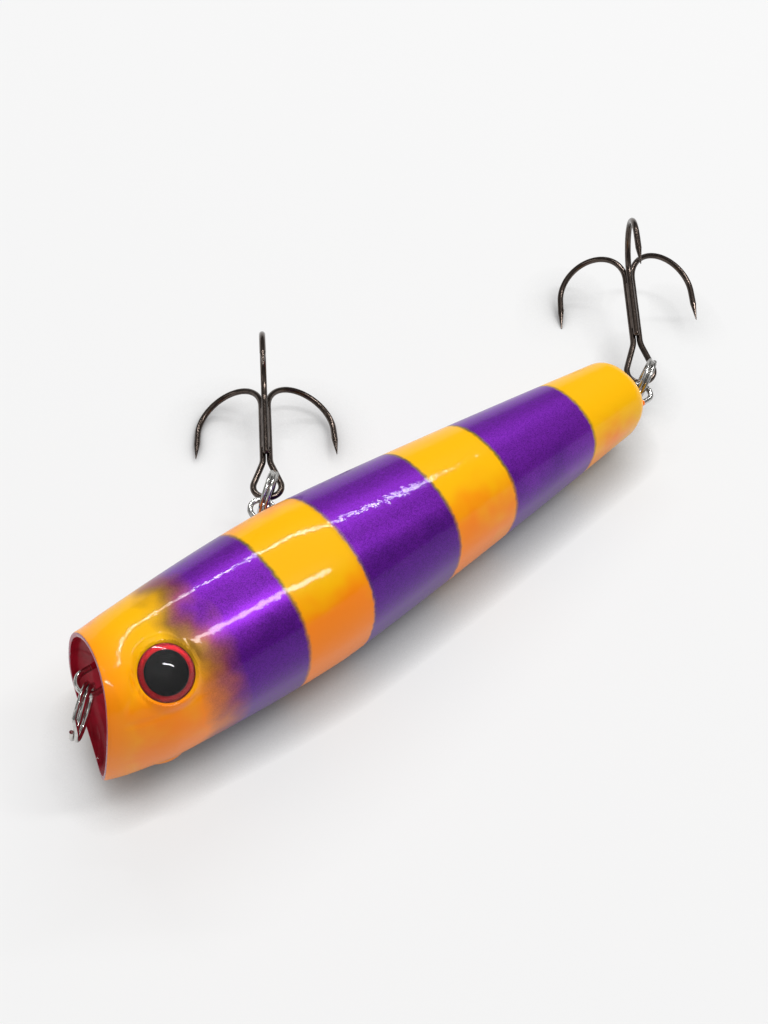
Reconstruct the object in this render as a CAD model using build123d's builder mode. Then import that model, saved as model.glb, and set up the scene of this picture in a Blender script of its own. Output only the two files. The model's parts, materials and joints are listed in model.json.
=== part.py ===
"""Topwater popper: a hollow two-piece lure body with wire eyelets, split rings and treble hooks.

Millimetres. The lure is built in its own frame (x from the mouth to the tail, y to its right flank,
z to its back), then laid on its left flank: +X head to tail, +Y the belly side, +Z up.
"""
import os
from math import cos, pi, radians, sin, sqrt

from build123d import *

# Body outline: half heights of the section at places along the axis
body_length = 92.8
neck_half = 9.0
neck_at = 3.6
girth_half = 10.4
girth_at = 32.0
tail_half = 5.4
tail_round = 2.6
flank_ratio = 1.06        # section width over height
squareness = 2.29         # exponent of the section's superellipse, 2 is an ellipse
taper_power = 1.19        # how late the taper to the tail starts
# Mouth
mouth_slant = 18.0        # degrees, the back lip stands forward
mouth_hollow = 37.5       # radius of the rim's sweep, seen from the side
mouth_set_back = 0.75     # the sweep's middle, behind x = 0
mouth_flank = 10.75       # from the axis to the rim, at the flanks, the back and the belly
mouth_back = 6.5
mouth_belly = 8.6
head_blend = 6.5          # where the head's own section ends
flank_reach = 5.6         # from there forwards to the full size of each side
back_reach = 8.4
belly_reach = 4.6
flare_power = 1.5
cup_depth = 3.6
lip_land = 0.6
head_stations = (-6.0, -3.5, -1.5, 0.4, 2.2, 4.2, 6.4, 9.5)
# Sections of the cup: depth as a share of the whole, opening as a share of the mouth
cup_profile = ((-0.8, 1.1), (0.0, 1.0), (0.55, 0.88), (0.9, 0.5), (1.0, 0.2))
# Shell
wall = 1.2
bulkhead = 1.4
fit_gap = 0.05            # radial gap of pegs, weights, lenses and wires in their seats
pillar_radius = 2.0
front_pillar = (17.0, 4.6)  # x and z of the pillars' axes
slug_pillar_z = 4.2
peg_radius = 1.0
peg_length = 2.4
# Eyes
eye_radius = 3.0
eye_at = 7.4
eye_above_flank = 24.5    # degrees towards the back
eye_socket_depth = 1.1
foil_thickness = 0.2
lens_dome = 1.1
eye_boss_wall = 0.8
# Wire eyelets: closed oblong links held between the halves
eyelet_wire = 0.8
eyelet_half_width = 1.6   # to the wire's centre line
eyelet_proud = {"nose": 3.6, "belly": 3.6, "tail": 4.6}   # wire centre line beyond the body
eyelet_hold = 4.6         # wire centre line inside the body
boss_cover = 1.2          # boss beyond the wire
boss_depth = 5.0
belly_eyelet_at = 35.3
nose_eyelet_at = 4.3
nose_eyelet_z = -3.5      # below the axis, towards the belly
tail_eyelet_z = 1.5
# Split rings: two turns of round wire
ring_wire = 0.6
ring_radius = 3.4         # to the wire's centre line
ring_turn_gap = 0.05
ring_jog = 16.0           # degrees each side of the cross-over
link_gap = 0.12           # slack of a ring on what it carries
# Treble hooks
hook_wire = 0.9
hook_eye_half = 1.95      # to the wire's centre line
hook_eye_length = 4.8
hook_shank = 16.3         # eye centre to the start of the bends
hook_bend = 5.6           # bend radius
hook_sweep = 177.0        # degrees of bend
hook_point = 2.2          # straight part before the ground point
hook_tip = 2.9            # ground point
hook_tip_end = 0.06       # radius left at the very tip
barb_length = 1.3
barb_lean = 0.45
third_hook_start = 6.2    # where the brazed-on hook's shank begins
braze_web = 0.08          # gap between the shanks, filled by the braze
braze_radius = 0.66
# Weights and rattle
slug_radius = 2.0
slug_length = 10.0
slug_behind_eyelet = 8.0
tail_ball_radius = 3.175
rattle_radius = 3.0
rattle_clear = 0.15
rattle_room = 12.6        # length of the rattle's chamber
# How it lies
lie_tilt = 3.5            # degrees, tail end lower
lie_roll = 5.0            # degrees, belly side raised
ring_turn = {"nose": -39.5, "belly": 52.5, "tail": -27.5}   # degrees in the mid-plane, from the eyelet
ring_droop = {"nose": 60.0, "belly": 42.0, "tail": 33.0}    # degrees down out of the mid-plane
hang = {"belly": -13.0, "tail": -14.0}                      # degrees round the ring to its hook
hook_heading = {"belly": 53.1, "tail": 52.0}                # degrees from +X
hook_lean = {"belly": -2.8, "tail": -9.5}                   # degrees about the shank

# Worked out from the sizes above
lens_edge = eye_socket_depth - foil_thickness
eyelet_r = eyelet_wire / 2
ring_r = ring_wire / 2
hook_r = hook_wire / 2


def half_height(x):
    """Half the section's height at x, behind the head."""
    if x <= neck_at:
        return neck_half
    if x <= girth_at:
        return neck_half + (girth_half - neck_half) * sin(pi / 2 * (x - neck_at) / (girth_at - neck_at))
    taper = (x - girth_at) / (body_length - girth_at)
    return girth_half - (girth_half - tail_half) * taper ** taper_power


def to_mouth(x, body, mouth, reach):
    """Blend a half size of the body into that of the mouth at x."""
    share = min(1, max(0, (head_blend - x) / reach)) ** flare_power
    return body + (mouth - body) * share


def half_sizes(x):
    """The section's half width, and its heights above and below the axis, at x."""
    high = half_height(x)
    return (to_mouth(x, high * flank_ratio, mouth_flank, flank_reach), to_mouth(x, high, mouth_back, back_reach),
            to_mouth(x, high, mouth_belly, belly_reach))


def flank_at(x, z, inset=0.0):
    """Half the section's width at x and height z, for the outline drawn in by inset."""
    high = half_height(x) - inset
    wide = half_height(x) * flank_ratio - inset
    return wide * (1 - (abs(z) / high) ** squareness) ** (1 / squareness)


def section(x, inset=0.0):
    """The body's section at x, drawn in by inset."""
    wide, back_high, belly_high = (half - inset for half in half_sizes(x))
    power = 2 / squareness
    outline = []
    for turn in range(24):
        angle = 2 * pi * turn / 24
        c, s = cos(angle), sin(angle)
        c, s = (0 if abs(v) < 1e-9 else v for v in (c, s))
        outline.append((wide * (abs(c) ** power) * (1 if c > 0 else -1 if c < 0 else 0),
                        abs(s) ** power * (back_high if s > 0 else -belly_high)))
    with BuildSketch(Plane.YZ.offset(x)) as slice_sketch:
        with BuildLine():
            Spline(*outline, periodic=True)
        make_face()
    return slice_sketch.sketch


def chamber(start, end):
    """Hollow out the body from start to end, leaving the wall."""
    steps = max(2, round((end - start) / 6))
    loft([section(start + (end - start) * step / steps, wall) for step in range(steps + 1)], mode=Mode.SUBTRACT)


# ---- Body: the outer form, the mouth and the chambers, before it is split into halves ----
tail_solid_from = body_length - tail_round - eyelet_hold - 4 * tail_ball_radius
tail_ball_at = tail_solid_from + tail_ball_radius + bulkhead
cup_back = cup_depth + mouth_belly * 0.5 * sin(radians(mouth_slant))
nose_wall_end = cup_back + bulkhead
rattle_end = tail_solid_from
rattle_start = rattle_end - rattle_room
slug_at = belly_eyelet_at + slug_behind_eyelet
slug_seat_z = -(half_height(slug_at + slug_length) - wall - slug_radius - fit_gap)
belly_half = half_height(belly_eyelet_at)
out_of_mouth = Vector(-cos(radians(mouth_slant)), 0, -sin(radians(mouth_slant)))
mouth_middle = Vector(sin(radians(mouth_slant)), 0, -cos(radians(mouth_slant))) * (mouth_belly - mouth_back) / 2
pillars = [front_pillar, (slug_at + slug_length / 2, slug_pillar_z)]
pegs = pillars + [(belly_eyelet_at + 2 * eyelet_half_width + 1.6, -belly_half + wall + 2.6),
                  (tail_ball_at + 2 * tail_ball_radius + 0.6, 3.2)]


def eyelet_plane(x, z, turn):
    """Mid-plane placement of an eyelet: its local x points out of the body at turn degrees from +x."""
    out = Vector(cos(radians(turn)), 0, sin(radians(turn)))
    return Plane(origin=(x, 0, z), x_dir=out, z_dir=(0, 1, 0))


# Each eyelet's origin is where its centre line meets the surface that it stands out of
eyelet_turn = {"nose": 180, "belly": 270, "tail": 0}
eyelet_planes = {
    "nose": eyelet_plane(nose_eyelet_at, nose_eyelet_z, eyelet_turn["nose"]),
    "belly": eyelet_plane(belly_eyelet_at, -belly_half, eyelet_turn["belly"]),
    "tail": eyelet_plane(body_length, tail_eyelet_z, eyelet_turn["tail"]),
}


def link(radius, name, mode=Mode.ADD):
    """Add one eyelet, a closed oblong wire link, with the given wire radius."""
    near, far = -eyelet_hold + eyelet_half_width, eyelet_proud[name] - eyelet_half_width
    with BuildLine(eyelet_planes[name]) as centre_line:
        first = Line((near, eyelet_half_width), (far, eyelet_half_width))
        ThreePointArc(first @ 1, (eyelet_proud[name], 0), (far, -eyelet_half_width))
        last = Line((far, -eyelet_half_width), (near, -eyelet_half_width))
        ThreePointArc(last @ 1, (-eyelet_hold, 0), first @ 0)
    with BuildSketch(Plane(origin=first @ 0, z_dir=first % 0)) as wire:
        Circle(radius)
    sweep(wire.sketch, path=centre_line.wires()[0], mode=mode)


def eye_plane(side):
    """The eye socket's mouth on one flank, side 1 for the right and -1 for the left."""
    high = half_height(eye_at)
    wide = high * flank_ratio
    lift = radians(eye_above_flank)
    reach = ((cos(lift) / wide) ** squareness + (sin(lift) / high) ** squareness) ** (-1 / squareness)
    y, z = reach * cos(lift), reach * sin(lift)
    grow = (half_height(eye_at + 1) - half_height(eye_at - 1)) / 2
    normal = Vector(-grow, y ** (squareness - 1) / wide ** squareness, z ** (squareness - 1) / high ** squareness)
    scale_up = 1 / sqrt(normal.Y ** 2 + normal.Z ** 2)
    return Plane(origin=(eye_at, side * y, z), x_dir=(1, 0, 0),
                 z_dir=(-grow, side * normal.Y * scale_up, normal.Z * scale_up))


with BuildPart() as hull:
    loft([section(x) for x in head_stations]
         + [section(head_stations[-1] + (body_length - head_stations[-1]) * index / 12) for index in range(1, 13)])
    fillet(hull.faces().sort_by(Axis.X)[-1].edges(), tail_round)
    # The mouth's sweep, its axis across the body
    sweep_centre = Vector(mouth_set_back, 0, 0) + out_of_mouth * mouth_hollow
    with Locations(Plane(origin=sweep_centre, x_dir=(1, 0, 0), z_dir=(0, 1, 0))):
        Cylinder(mouth_hollow, 4 * girth_half, mode=Mode.SUBTRACT)
    # The cup inside the lips
    for depth, share in cup_profile:
        centre = mouth_middle + out_of_mouth * -depth * cup_depth
        mouth_wide = (mouth_flank - lip_land) * share
        mouth_high = ((mouth_back + mouth_belly) / 2 / cos(radians(mouth_slant)) - lip_land) * share
        with BuildSketch(Plane(origin=centre, x_dir=(0, -1, 0), z_dir=out_of_mouth)):
            Ellipse(mouth_wide, mouth_high)
    loft(mode=Mode.SUBTRACT)
    chamber(nose_wall_end, slug_at - 1.5 * bulkhead)
    chamber(slug_at - 0.5 * bulkhead, rattle_start - bulkhead)
    chamber(rattle_start, rattle_end)
    # Bosses that hold the nose and belly eyelets, the eyes, the slug and the pegs
    with Locations((nose_eyelet_at + (eyelet_hold + boss_cover) / 2, 0, nose_eyelet_z)):
        Box(eyelet_hold + boss_cover, boss_depth, 2 * eyelet_half_width + 3 * eyelet_wire)
    with Locations((belly_eyelet_at, 0, -belly_half + (wall + eyelet_hold + boss_cover) / 2)):
        Box(2 * eyelet_half_width + 3 * eyelet_wire, boss_depth, eyelet_hold + boss_cover)
    with Locations((slug_at + slug_length / 2, 0, slug_seat_z)):
        Box(slug_length + 2 * bulkhead, 2 * slug_radius + 2 * wall, 2 * slug_radius)
    for side in (1, -1):
        with Locations(eye_plane(side).offset(-eye_socket_depth / 2 - wall)):
            Cylinder(eye_radius + eye_boss_wall, eye_socket_depth + 0.2)
    for x, z in pillars:
        with Locations(Plane(origin=(x, 0, z), x_dir=(1, 0, 0), z_dir=(0, 1, 0))):
            Cylinder(pillar_radius, 2 * flank_at(x, z + pillar_radius, wall / 2))
    peg_x, peg_z = pegs[2]
    with Locations(Plane(origin=(peg_x, 0, peg_z), x_dir=(1, 0, 0), z_dir=(0, 1, 0))):
        Cylinder(pillar_radius, 2 * (peg_length + wall))
    # Seats of the eyelets, the eyes and the weights
    for name in eyelet_planes:
        link(eyelet_r + fit_gap, name, Mode.SUBTRACT)
    for side in (1, -1):
        with Locations(eye_plane(side).offset(-eye_socket_depth + 2)):
            Cylinder(eye_radius + fit_gap, 4, mode=Mode.SUBTRACT)
    with Locations(Plane(origin=(slug_at + slug_length / 2, 0, slug_seat_z), z_dir=(1, 0, 0))):
        Cylinder(slug_radius + fit_gap, slug_length + 2 * fit_gap, mode=Mode.SUBTRACT)
    with Locations((tail_ball_at, 0, 0)):
        Sphere(tail_ball_radius + fit_gap, mode=Mode.SUBTRACT)

with BuildPart() as left_shell:
    add(hull.part)
    split(bisect_by=Plane.XZ, keep=Keep.TOP)
    for x, z in pegs:
        with Locations(Plane(origin=(x, peg_length / 2 - 0.5, z), z_dir=(0, 1, 0))):
            Cylinder(peg_radius, peg_length + 1)

with BuildPart() as right_shell:
    add(hull.part)
    split(bisect_by=Plane.XZ, keep=Keep.BOTTOM)
    for x, z in pegs:
        with Locations(Plane(origin=(x, peg_length / 2, z), z_dir=(0, 1, 0))):
            Cylinder(peg_radius + fit_gap, peg_length + 2 * fit_gap + 0.2, mode=Mode.SUBTRACT)

# ---- Eyes, eyelets and weights ----
pieces = {"left_shell": left_shell, "right_shell": right_shell}
dome_sphere = (eye_radius ** 2 + lens_dome ** 2) / (2 * lens_dome)
for name, side in (("right", 1), ("left", -1)):
    plane = eye_plane(side)
    with BuildPart() as eye_foil:
        with Locations(plane.offset(-eye_socket_depth + foil_thickness / 2)):
            Cylinder(eye_radius, foil_thickness)
    with BuildPart() as eye_lens:
        with Locations(plane.offset(lens_dome - dome_sphere)):
            Sphere(dome_sphere)
        with Locations(plane.offset((lens_dome - lens_edge) / 2)):
            Cylinder(eye_radius, lens_dome + lens_edge, mode=Mode.INTERSECT)
    pieces[name + "_eye_foil"] = eye_foil
    pieces[name + "_eye_lens"] = eye_lens

for name in eyelet_planes:
    with BuildPart() as eyelet:
        link(eyelet_r, name)
    pieces[name + "_eyelet"] = eyelet

with BuildPart() as belly_weight:
    with Locations(Plane(origin=(slug_at + slug_length / 2, 0, slug_seat_z), z_dir=(1, 0, 0))):
        Cylinder(slug_radius, slug_length)
    chamfer(belly_weight.edges().filter_by(GeomType.CIRCLE), 0.4)

with BuildPart() as tail_weight:
    with Locations((tail_ball_at, 0, 0)):
        Sphere(tail_ball_radius)

# The rattle ball lies on the left wall of its chamber, at the tail end
rattle_at = rattle_end - rattle_radius - rattle_clear
rattle_side = flank_at(rattle_at, 0, wall) - rattle_radius - rattle_clear
with BuildPart() as rattle_ball:
    with Locations((rattle_at, -rattle_side, 0)):
        Sphere(rattle_radius)
pieces.update(belly_weight=belly_weight, tail_weight=tail_weight, rattle_ball=rattle_ball)

# ---- Split ring, in its own frame: x from the eyelet to the hook, z its axis ----
turn_height = ring_r + ring_turn_gap / 2
with BuildPart() as split_ring:
    for height in (-turn_height, turn_height):
        with BuildLine(Plane.XY.offset(height)) as turn:
            CenterArc((0, 0), ring_radius, 90 + ring_jog, 360 - 2 * ring_jog)
        with BuildSketch(Plane(origin=turn.line @ 0, z_dir=turn.line % 0)):
            Circle(ring_r)
        sweep(path=turn.line)
    jog_side = ring_radius * sin(radians(ring_jog))
    jog_ahead = ring_radius * cos(radians(ring_jog))
    with BuildLine() as jog:
        Line((jog_side, jog_ahead, -turn_height), (-jog_side, jog_ahead, turn_height))
    with BuildSketch(Plane(origin=jog.line @ 0, z_dir=jog.line % 0)):
        Circle(ring_r)
    sweep(path=jog.line)
    with Locations(jog.line @ 0, jog.line @ 1):
        Sphere(ring_r)

# ---- Treble hook, in its own frame: x along the shank from the eye's centre, z to the third hook ----
shank_side = (hook_wire + braze_web) / 2
third_height = shank_side * sqrt(3)


def hook_arm(root, outward):
    """Add one bend, point and barb to a shank that ends at root and opens along outward."""
    ahead, end_turn = Vector(1, 0, 0), radians(hook_sweep)
    side = ahead.cross(outward)
    centre = root + outward * hook_bend
    with BuildSketch(Plane(origin=root, z_dir=ahead)) as wire:
        Circle(hook_r)
    revolve(wire.sketch, axis=Axis(centre, side), revolution_arc=hook_sweep)
    bend_end = centre + (ahead * sin(end_turn) - outward * cos(end_turn)) * hook_bend
    along = ahead * cos(end_turn) + outward * sin(end_turn)
    with Locations(Plane(origin=bend_end, z_dir=along).offset(hook_point / 2)):
        Cylinder(hook_r, hook_point)
    tip_start = bend_end + along * hook_point
    with Locations(Plane(origin=tip_start, z_dir=along).offset(hook_tip / 2)):
        Cone(hook_r, hook_tip_end, hook_tip)
    inward = side.cross(along)
    barb_start = tip_start + along * (hook_tip * 0.25)
    with Locations(Plane(origin=barb_start, z_dir=inward * barb_lean - along).offset(barb_length / 2)):
        Cone(hook_r * 0.55, hook_tip_end, barb_length)


def shank(start, y, z):
    """Add a straight shank from start to the bends."""
    with Locations(Plane(origin=((start + hook_shank) / 2, y, z), z_dir=(1, 0, 0))):
        Cylinder(hook_r, hook_shank - start)


with BuildPart() as double_hook:
    half, length = hook_eye_half, hook_eye_length
    with BuildLine() as eye_line:
        FilletPolyline((length + 2, shank_side, 0), (length, shank_side, 0), (hook_r, half, 0), (-half, half, 0),
                       (-half, -half, 0), (hook_r, -half, 0), (length, -shank_side, 0), (length + 2, -shank_side, 0),
                       radius=[4, 2, half * 0.99, half * 0.99, 2, 4])
    eye_wire = eye_line.wires()[0]
    with BuildSketch(Plane(origin=eye_wire @ 0, z_dir=eye_wire % 0)):
        Circle(hook_r)
    sweep(path=eye_wire)
    for side in (1, -1):
        shank(length + 2, side * shank_side, 0)
        hook_arm(Vector(hook_shank, side * shank_side, 0), Vector(0, side * cos(pi / 6), -sin(pi / 6)))

with BuildPart() as single_hook:
    shank(third_hook_start, 0, third_height)
    with Locations((third_hook_start, 0, third_height)):
        Sphere(hook_r)
    hook_arm(Vector(hook_shank, 0, third_height), Vector(0, 0, 1))

with BuildPart() as hook_braze:
    with Locations(Plane(origin=((third_hook_start + hook_shank) / 2, 0, third_height / 3), z_dir=(1, 0, 0))):
        Cylinder(braze_radius, hook_shank - third_hook_start - 2)
    for y, z in ((shank_side, 0), (-shank_side, 0), (0, third_height)):
        with Locations(Plane(origin=(hook_shank / 2, y, z), z_dir=(1, 0, 0))):
            Cylinder(hook_r, hook_shank, mode=Mode.SUBTRACT)

# ---- How it lies: the body on its left flank, the rings in their eyelets, the trebles on their points ----
tilt, roll = radians(lie_tilt), radians(lie_roll)
to_tail = Vector(cos(tilt), 0, -sin(tilt))
to_back = Vector(-sin(roll) * sin(tilt), -cos(roll), -sin(roll) * cos(tilt))
to_flank = to_back.cross(to_tail)
on_side = Plane(origin=(0, 0, 0), x_dir=to_tail, z_dir=to_back).location
rise = -min(shell.part.moved(on_side).bounding_box().min.Z for shell in (left_shell, right_shell))
lying = Pos(0, 0, rise) * on_side
placed = {name: piece.part.moved(lying) for name, piece in pieces.items()}


def hook_location(front, heading, climb, lean):
    """Placement of a treble whose eye wire is at front, by its shank's heading, climb and lean in radians."""
    along = Vector(cos(heading) * cos(climb), sin(heading) * cos(climb), sin(climb))
    level = Vector(-sin(heading), cos(heading), 0)
    across = level * cos(lean) + along.cross(level) * sin(lean)
    return Plane(origin=front + along * hook_eye_half, x_dir=along, z_dir=along.cross(across)).location


joint_lines = {}
treble_locations = {}
for name, plane in eyelet_planes.items():
    turn = radians(eyelet_turn[name] + ring_turn[name])
    droop = radians(ring_droop[name])
    straight_out = to_tail * cos(turn) + to_back * sin(turn)
    chord = straight_out * cos(droop) - to_flank * sin(droop)
    ring_axis = straight_out.cross(to_flank)
    arc_centre = plane.origin + plane.x_dir * (eyelet_proud[name] - eyelet_half_width)
    wire_point = (to_tail * arc_centre.X + to_back * arc_centre.Z + Vector(0, 0, rise)
                  + straight_out * eyelet_half_width)
    ring_centre = wire_point + chord * (ring_radius - eyelet_r - ring_r - link_gap)
    ring_location = Plane(origin=ring_centre, x_dir=chord, z_dir=ring_axis).location
    placed[name + "_split_ring"] = split_ring.part.moved(ring_location)
    joint_lines[name + "_ring_swing"] = (wire_point, ring_axis)
    if name in hook_heading:
        to_hook = chord * cos(radians(hang[name])) + ring_axis.cross(chord) * sin(radians(hang[name]))
        front = ring_centre + to_hook * (ring_radius - hook_r - ring_r - link_gap)
        heading, lean = radians(hook_heading[name]), radians(hook_lean[name])
        low, high = radians(-40), radians(40)
        for _ in range(24):
            climb = (low + high) / 2
            lowest = double_hook.part.moved(hook_location(front, heading, climb, lean)).bounding_box().min.Z
            low, high = (climb, high) if lowest < 0 else (low, climb)
        treble_locations[name] = hook_location(front, heading, climb, lean)
        for piece_name, piece in (("double_hook", double_hook), ("single_hook", single_hook),
                                  ("hook_braze", hook_braze)):
            placed[f"{name}_{piece_name}"] = piece.part.moved(treble_locations[name])
        eye_frame = Plane(treble_locations[name])
        joint_lines[name + "_treble_swing"] = (eye_frame.origin, eye_frame.z_dir)

# The origin is under the middle of the whole lure
whole = Compound(children=[part.moved(Pos(0, 0, 0)) for part in placed.values()]).bounding_box()
to_origin = Pos(-(whole.min.X + whole.max.X) / 2, -(whole.min.Y + whole.max.Y) / 2, -whole.min.Z)

os.makedirs("parts", exist_ok=True)
for name, part in placed.items():
    piece = part.moved(to_origin)
    piece.label = name
    export_step(piece, f"parts/{name}.step")
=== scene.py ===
"""Looks of a topwater popper: painted body halves, set-in eyes, wire eyelets, split rings and treble hooks."""
import json
from math import atan2, cos, exp, hypot, pi, radians, sin, sqrt

import bpy
import numpy as np
from bpy.props import FloatProperty, FloatVectorProperty, IntProperty, PointerProperty
from mathutils import Matrix, Vector


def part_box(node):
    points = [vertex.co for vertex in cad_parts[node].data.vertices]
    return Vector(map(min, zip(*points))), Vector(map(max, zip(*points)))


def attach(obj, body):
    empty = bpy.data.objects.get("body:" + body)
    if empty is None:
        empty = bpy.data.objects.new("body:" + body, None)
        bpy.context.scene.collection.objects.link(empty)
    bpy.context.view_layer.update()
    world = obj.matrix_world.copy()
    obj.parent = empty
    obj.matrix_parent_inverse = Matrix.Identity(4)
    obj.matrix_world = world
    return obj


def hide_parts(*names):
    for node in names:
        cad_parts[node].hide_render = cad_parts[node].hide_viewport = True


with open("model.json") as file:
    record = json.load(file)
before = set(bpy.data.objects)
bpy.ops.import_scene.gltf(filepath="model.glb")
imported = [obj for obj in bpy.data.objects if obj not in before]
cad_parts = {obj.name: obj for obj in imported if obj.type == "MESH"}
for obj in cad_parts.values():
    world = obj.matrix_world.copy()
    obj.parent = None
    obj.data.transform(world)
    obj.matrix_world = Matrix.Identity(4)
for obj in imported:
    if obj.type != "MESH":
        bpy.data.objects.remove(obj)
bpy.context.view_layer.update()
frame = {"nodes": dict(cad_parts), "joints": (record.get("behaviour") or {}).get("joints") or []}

bl_info = {
    "name": "Topwater Popper",
    "version": (1, 0, 0),
    "blender": (4, 5, 0),
    "location": "View3D > Sidebar > Popper",
    "description": "Models and finishes a topwater popper round its packed parts",
    "category": "Object",
}

MM = 0.001
TO_MM = (MM, MM, MM)
EYE_SIDES = 96
BAND_SPAN = 100


# ---- Where the lure lies ----
def middle(node):
    """Middle of a node's box."""
    low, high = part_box(node)
    return (low + high) / 2


def tailwards():
    """Direction from the mouth to the tail, along which the rattle ball slides."""
    slide = next(joint for joint in frame["joints"] if joint["name"] == "rattle_slide")
    return Vector(slide["axis"]).normalized()


def lure_matrix(body_length):
    """The lure's own frame: x from the mouth to the tail, y to its right flank, z to its back."""
    to_tail = tailwards()
    across = middle("right_eye_foil") - middle("left_eye_foil")
    to_flank = (across - to_tail * across.dot(to_tail)).normalized()
    to_back = to_tail.cross(to_flank)
    tail_end = max(vertex.co.dot(to_tail) for vertex in frame["nodes"]["right_shell"].data.vertices)
    on_axis = middle("tail_weight")
    mouth = on_axis + to_tail * (tail_end - body_length - on_axis.dot(to_tail))
    return Matrix.Translation(mouth) @ Matrix((to_tail, to_flank, to_back)).transposed().to_4x4()


def eye_matrix(side, socket_depth):
    """Frame of an eye's socket: z out of the flank, its origin at the socket's mouth."""
    corners = np.array([vertex.co for vertex in frame["nodes"][side + "_eye_foil"].data.vertices])
    centre = (corners.max(0) + corners.min(0)) / 2
    normal = Vector(np.linalg.svd(corners - corners.mean(0))[2][2])
    if normal.z * (1 if side == "right" else -1) < 0:
        normal = -normal
    to_tail = tailwards()
    forward = (to_tail - normal * to_tail.dot(normal)).normalized()
    turn = Matrix((forward, normal.cross(forward), normal)).transposed().to_4x4()
    return Matrix.Translation(Vector(centre) + normal * socket_depth) @ turn


# ---- Modelling helpers ----
def deselect():
    """Leave object mode with nothing selected."""
    if bpy.context.object and bpy.context.object.mode != "OBJECT":
        bpy.ops.object.mode_set(mode="OBJECT")
    bpy.ops.object.select_all(action="DESELECT")


def named(name):
    """The active object, given its name."""
    piece = bpy.context.object
    piece.name = piece.data.name = name
    return piece


def activate(piece):
    """Select this piece alone."""
    deselect()
    piece.select_set(True)
    bpy.context.view_layer.objects.active = piece


def copy_of(piece, name):
    """A copy of a piece with its own mesh, selected alone."""
    activate(piece)
    bpy.ops.object.duplicate()
    return named(name)


def edit(select="SELECT"):
    """Enter edit mode with everything selected or nothing."""
    bpy.ops.object.mode_set(mode="EDIT")
    bpy.ops.mesh.select_all(action=select)


def cut_out(piece, cutter):
    """Subtract the cutter from the piece and remove it."""
    activate(piece)
    modifier = piece.modifiers.new("Cut", "BOOLEAN")
    modifier.operation, modifier.solver, modifier.object = "DIFFERENCE", "EXACT", cutter
    bpy.ops.object.modifier_apply(modifier=modifier.name)
    bpy.data.objects.remove(cutter)


def smooth(piece, angle=30):
    """Shade smooth, but keep edges sharper than the angle in degrees."""
    activate(piece)
    bpy.ops.object.shade_smooth_by_angle(angle=radians(angle))


def tube(name, count, places):
    """A tube of rings along x, one ring for each place, modelled by extruding a circle."""
    deselect()
    bpy.ops.mesh.primitive_circle_add(vertices=count, radius=1, fill_type="NOTHING",
                                      rotation=(0, pi / 2, 0), location=(places[0], 0, 0))
    piece = named(name)
    bpy.ops.object.transform_apply()
    edit()
    for before, after in zip(places, places[1:]):
        bpy.ops.mesh.extrude_region_move(TRANSFORM_OT_translate={"value": (after - before, 0, 0)})
    bpy.ops.object.mode_set(mode="OBJECT")
    return piece


def merge_ring(piece, place):
    """Close an end of a tube: bring its ring at this place together in one point."""
    activate(piece)
    edit("DESELECT")
    bpy.ops.object.mode_set(mode="OBJECT")
    for vertex in piece.data.vertices:
        vertex.select = abs(vertex.co.x - place) < 1e-6
    bpy.ops.object.mode_set(mode="EDIT")
    bpy.ops.mesh.merge(type="CENTER")
    bpy.ops.object.mode_set(mode="OBJECT")


# ---- Shape of the body ----
def half_height(body, x):
    """Half the height of the body's section at x, behind the head."""
    if x <= body.neck_at:
        return body.neck_half
    if x <= body.girth_at:
        share = (x - body.neck_at) / (body.girth_at - body.neck_at)
        return body.neck_half + (body.girth_half - body.neck_half) * sin(pi / 2 * share)
    share = min(1, (x - body.girth_at) / (body.length - body.girth_at))
    return body.girth_half - (body.girth_half - body.tail_half) * share ** body.taper_power


def to_mouth(body, x, size, mouth, reach):
    """Blend a half size of the body into that of the mouth at x."""
    share = min(1, max(0, (body.head_blend - x) / reach)) ** body.flare_power
    return size + (mouth - size) * share


def outline(body, x, angle, inset=0.0):
    """Point (y, z) of the section at x, at an angle from the right flank towards the back."""
    high = half_height(body, x)
    wide = to_mouth(body, x, high * body.flank_ratio, body.mouth_flank, body.flank_reach) - inset
    if angle > 0:
        high = to_mouth(body, x, high, body.mouth_back, body.back_reach) - inset
    else:
        high = to_mouth(body, x, high, body.mouth_belly, body.belly_reach) - inset
    power = 2 / body.squareness
    c, s = cos(angle), sin(angle)
    c, s = (0 if abs(value) < 1e-6 else value for value in (c, s))
    y = wide * abs(c) ** power * (1 if c > 0 else -1)
    z = high * abs(s) ** power * (1 if s > 0 else -1)
    return y, z


def rim_x(body, z):
    """Where the mouth's sweep is at height z."""
    slant = radians(body.mouth_slant)
    centre_x, centre_z = body.mouth_set_back - cos(slant) * body.mouth_hollow, -sin(slant) * body.mouth_hollow
    return centre_x + sqrt(body.mouth_hollow ** 2 - (z - centre_z) ** 2)


def rim_point(body, angle):
    """Point of the rim at an angle, on the sweep and the outer surface."""
    x = 0.0
    for _ in range(8):
        y, z = outline(body, x, angle)
        x = rim_x(body, z)
    return x, y, z


def flank_point(body, place, angle):
    """Point of the outer surface at a distance behind the rim."""
    weight = max(0, 1 - place / body.rim_blend) ** 2
    x = place
    for _ in range(6):
        y, z = outline(body, x, angle)
        x = place + rim_x(body, z) * weight
    return x, y, z


def lip_point(body, angle, inward, back):
    """Point of the lip, this far inside the rim and behind the sweep."""
    _, y, z = rim_point(body, angle)
    middle_z = (body.mouth_back - body.mouth_belly) / 2
    share = 1 - inward / hypot(y, z - middle_z)
    y, z = y * share, middle_z + (z - middle_z) * share
    return rim_x(body, z) + back, y, z


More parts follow.
